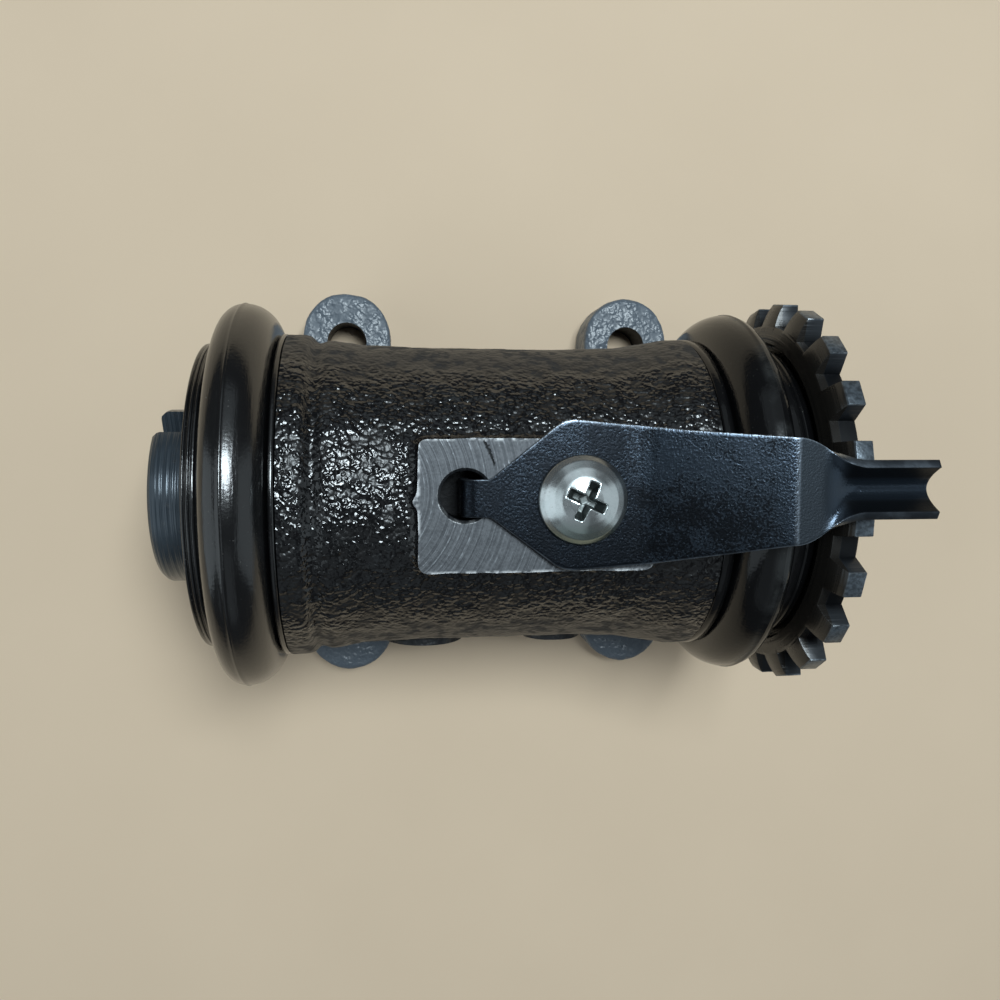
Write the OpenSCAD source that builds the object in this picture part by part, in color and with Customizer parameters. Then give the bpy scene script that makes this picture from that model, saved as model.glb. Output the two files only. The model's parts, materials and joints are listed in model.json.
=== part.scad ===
// Wheel cylinder for a drum brake, with a star wheel adjuster on one side.
// The bore runs along X, the spring pad faces +Z and the mounting face is the plane z = 0.
// All sizes are in millimetres.

/* [Cylinder body] */
// Bore diameter
bore_d = 28.6; // [27:0.1:30]
// Length of the casting between its end collars
body_len = 56.6; // [54:0.1:76]
// Middle of the casting, measured along the bore from the middle of the lug pattern
body_mid = -3; // [-3.5:0.1:-2.5]
// Diameter of the cast barrel
barrel_d = 42.8; // [41:0.1:44]
// Height of the collars at both ends above the barrel
collar_rise = 1.6; // [1.2:0.1:2]
// Width of each collar
collar_w = 2.5; // [2:0.1:3.5]
// Length of the turned spigot that carries a boot
spigot_len = 3.4; // [3:0.1:4]
// Diameter of the turned spigot
spigot_d = 38.4; // [37:0.1:39.5]
// Height of the bore axis above the mounting face
axis_h = 31; // [30:0.1:34]

/* [Mounting lugs] */
// Distance between lug holes along the bore
lug_dx = 48.9; // [47:0.1:50]
// Distance between lug holes across the bore
lug_dy = 48.8; // [48:0.1:52]
// Outside diameter of a lug
lug_d = 15; // [14:0.1:15.6]
// Clearance hole in a lug
lug_hole_d = 6.6; // [5.5:0.1:7.4]
// Extra length of a lug's nose beyond its hole
lug_nose = 0.9; // [0:0.1:1.5]
// Thickness of a lug
lug_t = 7.5; // [6:0.1:8]

/* [Ports] */
// Thread radius of the inlet port
inlet_r = 4.5; // [4:0.1:5]
// Depth of the inlet thread
inlet_depth = 9; // [7:0.1:10]
// Thread radius of the linking port
link_r = 3.4; // [3:0.1:4]
// Reach of the port bosses below the bore axis plane
port_reach = 24.4; // [24:0.1:26]
// Place of the inlet port along the bore
inlet_x = -12.1; // [-13:0.1:-11]
// Place of the linking port along the bore
link_x = 8.8; // [8:0.1:10]
// Drop of the ports below the bore axis
port_drop = 12; // [11:0.1:12.5]

/* [Spring pad] */
// Height of the milled pad above the barrel
pad_rise = 2.2; // [1.8:0.1:2.6]
// Width of the pad across the bore
pad_w = 16.7; // [16:0.1:18]
// Left end of the pad
pad_x0 = -14.3; // [-15:0.1:-13]
// Right end of the pad
pad_x1 = 15.5; // [14:0.1:17]
// Diameter of the hole for the spring tongue
tongue_hole_d = 6.2; // [6:0.1:7]
// Depth of the hole for the spring tongue
tongue_hole_depth = 6; // [5:0.1:6.5]

/* [Pistons] */
// Reach of the plain piston head beyond its collar
head_reach = 17.7; // [16.5:0.1:20]
// Diameter of the slotted piston head
head_d = 24.4; // [23.5:0.1:25]
// Width of the shoe slots
slot_w = 6; // [5:0.1:7]
// Depth of the shoe slots
slot_depth = 5.6; // [4.5:0.1:6]
// Turn of the shoe slots about the bore
slot_turn = 28; // [0:1:45]
// Length of the adjuster piston inside its collar
adjuster_depth = 21; // [20:0.1:22]

/* [Boots] */
// Length of the plain boot from collar to neck
plain_boot_len = 11.3; // [11:0.1:12]
// Length of the adjuster boot from collar to neck
adjuster_boot_len = 13.2; // [13:0.1:14]
// Section radius of the plain boot's bulge towards its collar
plain_bulge_r = 4.6; // [4.4:0.05:4.7]
// Section radius of the adjuster boot's bulge towards its collar
adjuster_bulge_r = 4.8; // [4.6:0.05:4.95]
// Section radius of the plain boot's bulge towards its neck
plain_side_r = 3; // [2.6:0.05:3.3]
// Section radius of the adjuster boot's bulge towards its neck
adjuster_side_r = 1.8; // [1.7:0.05:2.2]
// Diameter over the plain boot's bulge
plain_crest_d = 54; // [53:0.1:54.5]
// Diameter over the adjuster boot's bulge
adjuster_crest_d = 53.2; // [52:0.1:53.8]
// Diameter of the plain boot's neck
plain_neck_d = 43.2; // [42:0.1:44]
// Diameter of the adjuster boot's neck
adjuster_neck_d = 44.4; // [43:0.1:44.8]
// Thickness of the rubber
rubber_t = 1.4; // [1.2:0.05:1.6]

/* [Star wheel] */
// Diameter over the teeth
wheel_d = 56.8; // [56:0.1:58]
// Number of teeth
teeth = 21; // [20:1:22]
// Width of a tooth at its tip
tooth_w = 3.6; // [3.4:0.1:3.8]
// Depth of the notches
tooth_depth = 3.2; // [3:0.1:3.6]
// Axial width of the rim
rim_w = 3.7; // [3.5:0.1:4.4]
// Diameter of the threaded sleeve
sleeve_d = 18; // [17:0.1:18.4]
// Thread diameter of the adjuster bolt
thread_d = 12; // [11:0.1:12.6]
// Diameter of the adjuster bolt head
bolt_head_d = 19.6; // [18:0.1:20]

/* [Lock spring] */
// Thickness of the spring leaf
leaf_t = 1.1; // [0.9:0.05:1.2]
// Width of the tongue
tongue_w = 4.6; // [4:0.1:4.8]
// Width of the leaf at its shoulders
shoulder_w = 18.7; // [18:0.1:19.5]
// Place of the screw along the bore
screw_x = 5.95; // [5:0.05:7]
// Place of the tongue hole along the bore
tongue_x = -8.4; // [-9:0.05:-8]
// Length of the trough that drops into a notch
trough_len = 9.9; // [9.7:0.1:10.6]

/* [Screw] */
// Head diameter
screw_head_d = 11.3; // [10.5:0.1:12]
// Head height
screw_head_h = 3; // [2.6:0.1:3.2]
// Thread diameter
screw_d = 5; // [4:0.1:5.2]

/* [Fits] */
// Radial clearance of sliding and turning fits
fit = 0.05; // [0.03:0.01:0.08]
// Gap between pieces that only touch
gap = 0.3; // [0.2:0.05:0.4]

/* [Hidden] */
$fn = 96;
xl = body_mid - body_len / 2;
xr = body_mid + body_len / 2;
bore_r = bore_d / 2;
piston_r = bore_r - fit;
head_r = head_d / 2;
spigot_r = spigot_d / 2;
collar_r = barrel_d / 2 + collar_rise;
pad_h = barrel_d / 2 + pad_rise;
wheel_r = wheel_d / 2;
floor_r = wheel_r - tooth_depth;
sleeve_r = sleeve_d / 2;
thread_r = thread_d / 2;
plain_neck_r = plain_neck_d / 2;
adjuster_neck_r = adjuster_neck_d / 2;

// Lug webs and pedestal stay this far inside the collars
web_back = 0.8;
web_x0 = max(-lug_dx / 2 - lug_d / 2, xl + web_back);
web_x1 = min(lug_dx / 2 + lug_d / 2, xr - web_back);
pedestal_w = 26;

// Bead of a boot in its piston groove, measured from the collar
bead_w = 1.4;
bead_back = 1.0;
groove_r = head_r - 1.7;
plain_bead = plain_boot_len - bead_back - bead_w;
adjuster_bead = adjuster_boot_len - bead_back - bead_w;

// Adjuster side, along the bore
skirt_reach = 2.5;
piston_end = xr + adjuster_boot_len + 0.3;
web_x = piston_end + gap;
rim_x = web_x - 0.4;
rim_end = rim_x + rim_w;
hub_end = rim_end + 1;
bolt_head_x = hub_end + gap;
bolt_head_len = 8;
sleeve_start = xr - adjuster_depth + 8;

// Parts in the fluid space, along the bore
plain_depth = 13;
plain_face = xl + plain_depth;
adjuster_face = xr - adjuster_depth;
cup_len = 6;
cup_lip = 3.6;
cup_edge = 0.6;
disc_back = 4.8;
disc_boss = 1.6;
cup_base = 3;
disc_t = 1;
spring_r = 7;
wire = 1.4;
spring_x0 = plain_face + gap + cup_base + gap + disc_t + gap;
spring_x1 = adjuster_face - gap - cup_base - gap - disc_t - gap;
spring_pitch = 3.2;
spring_turns = (spring_x1 - spring_x0) / spring_pitch;

// Lock spring levels above the bore axis
notch_turn = 4.3;
notch_half = PI * wheel_d / teeth / 2 - tooth_w / 2;
trough_y = wheel_r * sin(notch_turn);
trough_low = floor_r + 1.9;
knee_z = wheel_r + 0.5;
lip_z = wheel_r + 2;
low_half = 1;
knee_half = notch_half;
lip_half = 3.6;
bend_x = xr + 5.5;
bend_rise = 2.1;
bend_z = adjuster_crest_d / 2 + bend_rise;
lift_x = 13;
trough_x = rim_x + 0.6;
tongue_y = 1;
screw_y = 0.8;
screw_len = 6.5;
recess_l = 5.8;
recess_w = 1.4;
recess_depth = 1.7;

// Puts a solid drawn along Z onto the bore axis, starting at x
module on_axis(x) {
    translate([x, 0, axis_h]) rotate([0, 90, 0]) children();
}

// Straight round bar on the bore axis
module bar(x0, x1, r) {
    on_axis(x0) cylinder(h = x1 - x0, r = r);
}

// Round bar that tapers between two radii
module taper(x0, x1, r0, r1) {
    on_axis(x0) cylinder(h = x1 - x0, r1 = r0, r2 = r1);
}

// One lug with its web, before the hole is drilled
module lug(sx, sy) {
    x = sx * lug_dx / 2;
    y = sy * lug_dy / 2;
    w0 = max(x - lug_d / 2, web_x0);
    w1 = min(x + lug_d / 2, web_x1);
    translate([x, y + sy * lug_nose, 0]) cylinder(h = lug_t, d = lug_d);
    translate([w0, min(y - lug_nose, 0), 0]) cube([w1 - w0, abs(y) + lug_nose, lug_t]);
}

// Rounded block of the spring pad
module pad_block() {
    r = 1;
    z0 = axis_h + bore_r + 2;
    h = pad_h - bore_r - 2;
    translate([pad_x0 + r, -pad_w / 2, z0]) cube([pad_x1 - pad_x0 - 2 * r, pad_w, h]);
    translate([pad_x0, -pad_w / 2 + r, z0]) cube([pad_x1 - pad_x0, pad_w - 2 * r, h]);
    for (x = [pad_x0 + r, pad_x1 - r], y = [-pad_w / 2 + r, pad_w / 2 - r])
        translate([x, y, z0]) cylinder(h = h, r = r, $fn = 32);
}

// Port boss that points away from the bore, towards -Y
module port_boss(x, r) {
    translate([x, 0, axis_h - port_drop]) rotate([90, 0, 0]) cylinder(h = port_reach, r = r);
}

// Drilled and tapped port
module port_hole(x, r) {
    translate([x, -port_reach + inlet_depth, axis_h - port_drop]) rotate([90, 0, 0])
        cylinder(h = inlet_depth + 1, r = r);
    translate([x, -6, axis_h - port_drop]) rotate([90, 0, 0]) cylinder(h = port_reach - 7, r = 1.5, $fn = 32);
}

// Cast iron body with bore, spring pad, ports and four lugs
module cylinder_body() {
    color([0.08, 0.08, 0.085])
    difference() {
        union() {
            bar(xl, xr, barrel_d / 2);
            bar(xl, xl + collar_w, collar_r);
            taper(xl + collar_w, xl + collar_w + 7, collar_r, barrel_d / 2);
            bar(xr - collar_w, xr, collar_r);
            taper(xr - collar_w - 7, xr - collar_w, barrel_d / 2, collar_r);
            bar(xl - spigot_len, xr + spigot_len, spigot_r);
            pad_block();
            for (sx = [-1, 1], sy = [-1, 1]) lug(sx, sy);
            translate([web_x0, -pedestal_w / 2, 0]) cube([web_x1 - web_x0, pedestal_w, axis_h - bore_r - 2]);
            port_boss(inlet_x, 6.3);
            port_boss(link_x, 5);
        }
        bar(xl - spigot_len - 1, xr + spigot_len + 1, bore_r);
        taper(xl - spigot_len - 0.01, xl - spigot_len + 1, bore_r + 1, bore_r);
        taper(xr + spigot_len - 1, xr + spigot_len + 0.01, bore_r, bore_r + 1);
        for (sx = [-1, 1], sy = [-1, 1])
            translate([sx * lug_dx / 2, sy * lug_dy / 2, -1]) cylinder(h = lug_t + 2, d = lug_hole_d, $fn = 48);
        translate([tongue_x, tongue_y + 0.3, axis_h + pad_h - tongue_hole_depth])
            cylinder(h = tongue_hole_depth + 1, d = tongue_hole_d, $fn = 48);
        translate([screw_x, screw_y, axis_h + pad_h - screw_len - 0.5])
            cylinder(h = screw_len + 2, d = screw_d + 2 * fit, $fn = 48);
        port_hole(inlet_x, inlet_r);
        port_hole(link_x, link_r);
    }
}

// Slot for the shoe web, cut across the end of a piston head
module shoe_slot(x0, x1) {
    translate([x0, 0, axis_h]) rotate([slot_turn, 0, 0])
        translate([0, -head_d, -slot_w / 2]) cube([x1 - x0, 2 * head_d, slot_w]);
}

// Plain piston with a slotted head
module plain_piston() {
    x_end = xl - head_reach;
    color([0.12, 0.12, 0.125])
    difference() {
        union() {
            bar(xl - skirt_reach, plain_face, piston_r);
            bar(x_end + 1, xl - skirt_reach, head_r);
            taper(x_end, x_end + 1, head_r - 0.8, head_r);
        }
        difference() {
            bar(xl - plain_bead - bead_w - 0.2, xl - plain_bead + 0.2, head_r + 1);
            bar(xl - plain_bead - bead_w - 1, xl - plain_bead + 1, groove_r);
        }
        shoe_slot(x_end - 1, x_end + slot_depth);
    }
}

// Rubber cup, drawn with its closed face at x and its lip towards the spring
module cup(x, dir) {
    translate([x, 0, axis_h]) rotate([0, dir * 90, 0]) difference() {
        cylinder(h = cup_len, r = piston_r);
        translate([0, 0, cup_base]) cylinder(h = cup_len, r1 = bore_r - cup_edge - cup_lip, r2 = bore_r - cup_edge);
    }
}

module plain_cup() {
    color([0.05, 0.05, 0.05]) cup(plain_face + gap, 1);
}

module adjuster_cup() {
    color([0.05, 0.05, 0.05]) cup(adjuster_face - gap, -1);
}

// Steel disc that keeps a cup spread and locates the spring
module cup_disc(x, dir) {
    translate([x, 0, axis_h]) rotate([0, dir * 90, 0]) {
        cylinder(h = disc_t, r = bore_r - disc_back);
        cylinder(h = disc_t + disc_boss, r = spring_r - wire / 2 - 0.4);
    }
}

module plain_cup_disc() {
    color([0.55, 0.55, 0.56]) cup_disc(plain_face + 2 * gap + cup_base, 1);
}

module adjuster_cup_disc() {
    color([0.55, 0.55, 0.56]) cup_disc(adjuster_face - 2 * gap - cup_base, -1);
}

// Coil spring between the cups, ground flat at both ends
module cup_spring() {
    len = spring_x1 - spring_x0;
    arc = 360 * wire / spring_pitch;
    color([0.5, 0.5, 0.52])
    on_axis(spring_x0)
        linear_extrude(height = len, twist = -360 * spring_turns, slices = round(18 * spring_turns), $fn = 16)
            intersection() {
                difference() {
                    circle(r = spring_r + wire / 2, $fn = 18);
                    circle(r = spring_r - wire / 2, $fn = 18);
                }
                polygon([[0, 0], [bore_r, 0], [bore_r * cos(arc / 2), bore_r * sin(arc / 2)] * 2,
                         [bore_r * cos(arc), bore_r * sin(arc)]]);
            }
}

// Hollow piston that carries the star wheel's sleeve
module adjuster_piston() {
    color([0.12, 0.12, 0.125])
    difference() {
        union() {
            bar(adjuster_face, xr + skirt_reach, piston_r);
            bar(xr + skirt_reach, piston_end, head_r);
        }
        bar(sleeve_start - 0.7, piston_end + 1, sleeve_r + fit);
        difference() {
            bar(xr + adjuster_bead - 0.2, xr + adjuster_bead + bead_w + 0.2, head_r + 1);
            bar(xr + adjuster_bead - 1, xr + adjuster_bead + bead_w + 1, groove_r);
        }
    }
}

// Boot drawn from its collar end outwards along +Z of its own frame
module boot(len, bulge_r, side_r, crest_d, neck_r, bead) {
    mid = len / 2 + 0.1;
    wall = mid + side_r - rubber_t;
    lip = mid - bulge_r + 0.15;
    rotate_extrude() {
        translate([spigot_r + fit, fit]) square([collar_r - spigot_r - fit, lip - fit]);
        translate([spigot_r + fit, fit]) square([2.2, 3]);
        intersection() {
            translate([crest_d / 2 - bulge_r, mid]) difference() {
                circle(r = bulge_r);
                circle(r = bulge_r - rubber_t);
            }
            translate([spigot_r + 0.8, 1]) square([crest_d / 2, mid - 1]);
        }
        translate([crest_d / 2 - side_r, mid]) intersection() {
            difference() {
                circle(r = side_r);
                circle(r = side_r - rubber_t);
            }
            square([side_r + 1, side_r + 1]);
        }
        translate([neck_r - 2, wall]) square([crest_d / 2 - side_r - neck_r + 2, rubber_t]);
        translate([crest_d / 2 - 0.6, mid - 0.3]) square([0.9, 0.6]);
        translate([neck_r - 2, wall]) square([2, len - wall]);
        translate([head_r + 0.15, len - bead_back - bead_w]) square([neck_r - head_r - 0.5, bead_w]);
        translate([groove_r + 0.1, bead]) square([head_r - groove_r + 1, bead_w]);
    }
}

module plain_boot() {
    color([0.03, 0.03, 0.03])
    translate([xl, 0, axis_h]) rotate([0, -90, 0])
        boot(plain_boot_len, plain_bulge_r, plain_side_r, plain_crest_d, plain_neck_r, plain_bead);
}

module adjuster_boot() {
    color([0.03, 0.03, 0.03])
    translate([xr, 0, axis_h]) rotate([0, 90, 0])
        boot(adjuster_boot_len, adjuster_bulge_r, adjuster_side_r, adjuster_crest_d, adjuster_neck_r,
             adjuster_bead);
}

// One notch between two teeth, wider at the tips
module notch() {
    tip = notch_half;
    root = notch_half - 0.95;
    translate([rim_x - 1, 0, 0]) rotate([90, 0, 90])
        linear_extrude(height = rim_w + 2)
            polygon([[-root, floor_r], [root, floor_r], [tip, wheel_r], [tip + 0.3, wheel_r + 2],
                     [-tip - 0.3, wheel_r + 2], [-tip, wheel_r]]);
}

// Star wheel with its threaded sleeve
module star_wheel() {
    color([0.1, 0.1, 0.105])
    difference() {
        union() {
            bar(sleeve_start, hub_end, sleeve_r);
            on_axis(0) rotate_extrude()
                polygon([[sleeve_r - 1, web_x], [adjuster_neck_r + 0.9, web_x], [floor_r - 1.2, rim_x + 0.1],
                         [floor_r, rim_x], [floor_r + 1.1, rim_x + 0.2], [wheel_r - 1.1, rim_x + 0.6],
                         [wheel_r, rim_x + 1.4], [wheel_r, rim_end],
                         [adjuster_neck_r + 0.9, rim_end], [adjuster_neck_r - 0.6, rim_end - 1.2],
                         [sleeve_r + 4.6, rim_end - 1.2],
                         [sleeve_r + 3, hub_end], [sleeve_r - 1, hub_end]]);
        }
        bar(sleeve_start - 1, hub_end + 1, thread_r + fit);
        for (i = [0 : teeth - 1])
            translate([0, 0, axis_h]) rotate([-notch_turn + i * 360 / teeth, 0, 0]) notch();
    }
}

// Adjuster bolt with a slotted head, screwed into the star wheel
module adjuster_bolt() {
    x_end = bolt_head_x + bolt_head_len;
    color([0.13, 0.13, 0.135])
    difference() {
        union() {
            bar(sleeve_start + 1, bolt_head_x + 1, thread_r);
            bar(bolt_head_x, x_end - 1, bolt_head_d / 2);
            taper(x_end - 1, x_end, bolt_head_d / 2, bolt_head_d / 2 - 0.8);
        }
        shoe_slot(x_end - slot_depth, x_end + 1);
    }
}

// Ball that marks a corner of a formed strip
module knob(x, y, z) {
    translate([x, trough_y + y, axis_h + z]) sphere(d = leaf_t, $fn = 16);
}

// Strip of the formed leaf between the bend and the trough, from one pair of folds to the next
module strip(a0, a1, b0, z0, b1, z1) {
    hull() {
        knob(bend_x, a0, bend_z + leaf_t / 2);
        knob(bend_x, a1, bend_z + leaf_t / 2);
        knob(trough_x, b0, z0);
        knob(trough_x, b1, z1);
    }
}

// Plan outline of the leaf from its tongue to the bend
module leaf_outline() {
    t = tongue_w / 2;
    s = shoulder_w / 2;
    y = tongue_y;
    polygon([[tongue_x - leaf_t / 2, y - t], [tongue_x + 2.9, y - t], [screw_x - 3.2, 1.3 - s + 0.7],
             [screw_x - 0.9, 1.3 - s], [lift_x, 1.8 - s], [lift_x + 6, 2.7 - s],
             [bend_x, trough_y - 6.9], [bend_x, trough_y + 6.4], [lift_x + 6, s], [lift_x, s + 0.6],
             [screw_x - 1.2, s + 1.3], [screw_x - 3, s + 0.6],
             [tongue_x + 2.9, y + t], [tongue_x - leaf_t / 2, y + t]]);
}

// Leaf spring that locks the star wheel, held by one screw and a tongue
module lock_spring() {
    lip = lip_half - 0.3 * leaf_t;
    knee = knee_half - 0.45 * leaf_t;
    low = low_half - 0.3 * leaf_t;
    color([0.1, 0.11, 0.14])
    difference() {
        union() {
            intersection() {
                translate([0, shoulder_w, axis_h]) rotate([90, 0, 0])
                    linear_extrude(height = 2 * shoulder_w)
                        polygon([[tongue_x - leaf_t / 2, pad_h + 0.02], [lift_x, pad_h + 0.02],
                                 [bend_x, bend_z], [bend_x, bend_z + leaf_t], [lift_x, pad_h + leaf_t],
                                 [tongue_x - leaf_t / 2, pad_h + leaf_t]]);
                translate([0, 0, axis_h]) linear_extrude(height = wheel_d) leaf_outline();
            }
            translate([tongue_x - leaf_t / 2, tongue_y - tongue_w / 2, axis_h + pad_h - tongue_hole_depth + 1.5])
                cube([leaf_t, tongue_w, tongue_hole_depth - 1]);
            strip(-6.4, -4, -lip, lip_z + 0.3 * leaf_t, -knee, knee_z + 0.2 * leaf_t);
            strip(-4, -1.4, -knee, knee_z + 0.2 * leaf_t, -low, trough_low + leaf_t / 2);
            strip(-1.4, 1.4, -low, trough_low + leaf_t / 2, low, trough_low + leaf_t / 2);
            strip(1.4, 4, low, trough_low + leaf_t / 2, knee, knee_z + 0.2 * leaf_t);
            strip(4, 6, knee, knee_z + 0.2 * leaf_t, lip, lip_z + 0.3 * leaf_t);
            translate([trough_x, trough_y, axis_h]) rotate([90, 0, 90])
                linear_extrude(height = trough_len)
                    polygon([[-lip_half, lip_z], [-knee_half, knee_z], [-low_half, trough_low],
                             [low_half, trough_low], [knee_half, knee_z], [lip_half, lip_z],
                             [lip_half - 0.6 * leaf_t, lip_z + 0.6 * leaf_t],
                             [knee_half - 0.9 * leaf_t, knee_z + 0.35 * leaf_t],
                             [low_half - 0.6 * leaf_t, trough_low + leaf_t],
                             [-low_half + 0.6 * leaf_t, trough_low + leaf_t],
                             [-knee_half + 0.9 * leaf_t, knee_z + 0.35 * leaf_t],
                             [-lip_half + 0.6 * leaf_t, lip_z + 0.6 * leaf_t]]);
        }
        translate([screw_x, screw_y, axis_h + pad_h - 1]) cylinder(h = leaf_t + 2, d = screw_d + 0.6, $fn = 48);
    }
}

// Truss head screw with a cross recess
module lock_spring_screw() {
    z = axis_h + pad_h + leaf_t + 0.02;
    dome = (screw_head_d * screw_head_d / 4 + screw_head_h * screw_head_h) / (2 * screw_head_h);
    color([0.62, 0.63, 0.6])
    translate([screw_x, screw_y, z]) difference() {
        union() {
            intersection() {
                translate([0, 0, screw_head_h - dome]) sphere(r = dome);
                cylinder(h = screw_head_h + 1, d = screw_head_d);
            }
            translate([0, 0, -leaf_t - screw_len]) cylinder(h = leaf_t + screw_len + 0.5, d = screw_d, $fn = 48);
        }
        rotate([0, 0, 65]) for (a = [0, 90])
            rotate([0, 0, a]) translate([-recess_l / 2, -recess_w / 2, screw_head_h - recess_depth])
                cube([recess_l, recess_w, 2 * recess_depth]);
    }
}

cylinder_body();
plain_piston();
plain_cup();
plain_cup_disc();
cup_spring();
adjuster_cup_disc();
adjuster_cup();
adjuster_piston();
plain_boot();
adjuster_boot();
star_wheel();
adjuster_bolt();
lock_spring();
lock_spring_screw();
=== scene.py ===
import json
import math

import bpy
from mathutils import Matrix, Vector


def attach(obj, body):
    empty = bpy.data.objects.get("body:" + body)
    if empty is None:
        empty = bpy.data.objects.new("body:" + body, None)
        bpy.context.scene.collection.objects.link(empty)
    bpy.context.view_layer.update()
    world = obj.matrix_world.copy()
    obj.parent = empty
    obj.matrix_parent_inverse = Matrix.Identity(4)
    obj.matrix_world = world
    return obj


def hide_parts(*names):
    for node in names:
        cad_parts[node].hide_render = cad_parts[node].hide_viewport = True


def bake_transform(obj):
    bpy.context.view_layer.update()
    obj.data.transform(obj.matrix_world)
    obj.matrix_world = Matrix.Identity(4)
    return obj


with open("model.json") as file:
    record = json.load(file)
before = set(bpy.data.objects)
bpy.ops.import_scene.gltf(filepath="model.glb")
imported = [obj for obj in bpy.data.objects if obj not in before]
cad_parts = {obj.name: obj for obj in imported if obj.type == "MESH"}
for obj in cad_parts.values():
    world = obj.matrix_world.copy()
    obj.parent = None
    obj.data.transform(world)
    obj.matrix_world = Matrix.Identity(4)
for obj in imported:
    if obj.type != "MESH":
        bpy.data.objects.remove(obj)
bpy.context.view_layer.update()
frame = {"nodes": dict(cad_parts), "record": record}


# The cylinder body is one iron casting: a barrel with collars, a pad on top, four lugs and two pipe bosses.
# It is sand cast, so its skin is grainy, and it is bored, faced, milled and drilled where something fits.
# Black paint covers the cast skin, and the milled faces are bare.
mm = 0.001
bore_height = 31
axis = bore_height * mm


def picked(*pieces):
    """Selects these pieces and nothing else, with the first one active."""
    bpy.ops.object.select_all(action="DESELECT")
    for piece in pieces:
        piece.select_set(True)
    if pieces:
        bpy.context.view_layer.objects.active = pieces[0]


def outlined(name, profile, y=0.0):
    """Draws a line through (along the bore, radius) points in mm, and stays in edit mode with it selected."""
    picked()
    bpy.ops.mesh.primitive_plane_add(size=mm)
    piece = bpy.context.object
    piece.name = name
    bpy.ops.object.mode_set(mode="EDIT")
    bpy.ops.mesh.select_mode(type="VERT")
    bpy.ops.mesh.select_all(action="SELECT")
    bpy.ops.mesh.merge(type="CENTER")
    first_x, first_r = profile[0]
    bpy.ops.transform.translate(value=(first_x * mm, y * mm, axis + first_r * mm))
    for (x0, r0), (x1, r1) in zip(profile, profile[1:]):
        move = ((x1 - x0) * mm, 0, (r1 - r0) * mm)
        bpy.ops.mesh.extrude_vertices_move(TRANSFORM_OT_translate={"value": move})
    bpy.ops.mesh.select_all(action="SELECT")
    return piece


def tidied():
    """Closes the seam of a spun or joined mesh, turns its faces outwards and leaves edit mode."""
    bpy.ops.mesh.select_all(action="SELECT")
    bpy.ops.mesh.remove_doubles(threshold=0.001 * mm)
    bpy.ops.mesh.normals_make_consistent(inside=False)
    bpy.ops.object.mode_set(mode="OBJECT")


def turned(name, profile, steps=160):
    """Spins a profile round the bore axis, as a lathe or a round mould shapes it."""
    piece = outlined(name, profile)
    bpy.ops.mesh.spin(steps=steps, angle=math.tau, center=(0, 0, axis), axis=(1, 0, 0))
    tidied()
    return piece


def placed(piece, spot, turn=(0, 0, 0)):
    """Turns a piece about the origin, moves it by a spot in mm, and puts both into its mesh."""
    picked(piece)
    piece.rotation_euler = turn
    piece.location = [v * mm for v in spot]
    bpy.ops.object.transform_apply(location=True, rotation=True, scale=True)
    return piece


def block(name, low, high):
    """A cube stretched between two corners given in mm."""
    picked()
    middle = [(a + b) / 2 * mm for a, b in zip(low, high)]
    span = [(b - a) * mm for a, b in zip(low, high)]
    bpy.ops.mesh.primitive_cube_add(size=1, location=middle, scale=span)
    bpy.ops.object.transform_apply(location=True, rotation=True, scale=True)
    bpy.context.object.name = name
    return bpy.context.object


def rod(name, foot, radius, length, turn=(0, 0, 0), sides=64, flare=0.0):
    """A round bar that stands on its foot point, in mm, leans as turn says and may flare towards its top."""
    picked()
    bpy.ops.mesh.primitive_cone_add(vertices=sides, radius1=radius * mm, radius2=(radius + flare) * mm,
                                    depth=length * mm, location=(0, 0, length / 2 * mm))
    bpy.ops.object.transform_apply(location=True, rotation=True, scale=True)
    bpy.context.object.name = name
    return placed(bpy.context.object, foot, turn)


def tapped(name, foot, radius, length, pitch, turn, hand=1):
    """A rod with a screw thread: rings of points moved in and out along a helix.

    The thread is left hand where hand is 1, and right hand where hand is -1.
    """
    sides, rings_a_turn = 48, 8
    depth, slope, crest = 0.6 * pitch, 2.6, 0.15
    picked()
    bpy.ops.mesh.primitive_grid_add(x_subdivisions=sides, size=1,
                                    y_subdivisions=round(length / pitch * rings_a_turn))
    piece = bpy.context.object
    piece.name = name
    for point in piece.data.vertices:
        around = (point.co.x + 0.5) * math.tau
        up = (point.co.y + 0.5) * length
        ramp = (up / pitch + hand * around / math.tau) % 1
        r = (radius - depth * min(1, max(0, slope * abs(ramp - 0.5) - crest))) * mm
        point.co = (r * math.cos(around), r * math.sin(around), up * mm)
    bpy.ops.object.mode_set(mode="EDIT")
    bpy.ops.mesh.select_all(action="SELECT")
    bpy.ops.mesh.remove_doubles(threshold=0.001 * mm)
    bpy.ops.mesh.fill_holes(sides=0)
    tidied()
    return placed(piece, foot, turn)


def joined(name, pieces):
    """Makes several pieces one mesh."""
    picked(*pieces)
    bpy.ops.object.join()
    pieces[0].name = name
    return pieces[0]


def shaped(piece, kind, **settings):
    """Puts a modifier on a piece, sets it and applies it."""
    picked(piece)
    modifier = piece.modifiers.new(kind.lower(), kind)
    for setting, value in settings.items():
        setattr(modifier, setting, value)
    bpy.ops.object.modifier_apply(modifier=modifier.name)


def cut(piece, tool, operation="DIFFERENCE"):
    """Cuts a piece with a tool body, or adds the tool to it, and throws the tool away."""
    shaped(piece, "BOOLEAN", object=tool, operation=operation, solver="MANIFOLD")
    bpy.data.objects.remove(tool)


def smooth(piece, degrees):
    """Shades a piece smooth, apart from edges that are sharper than the angle."""
    picked(piece)
    bpy.ops.object.shade_smooth_by_angle(angle=math.radians(degrees))


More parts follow.
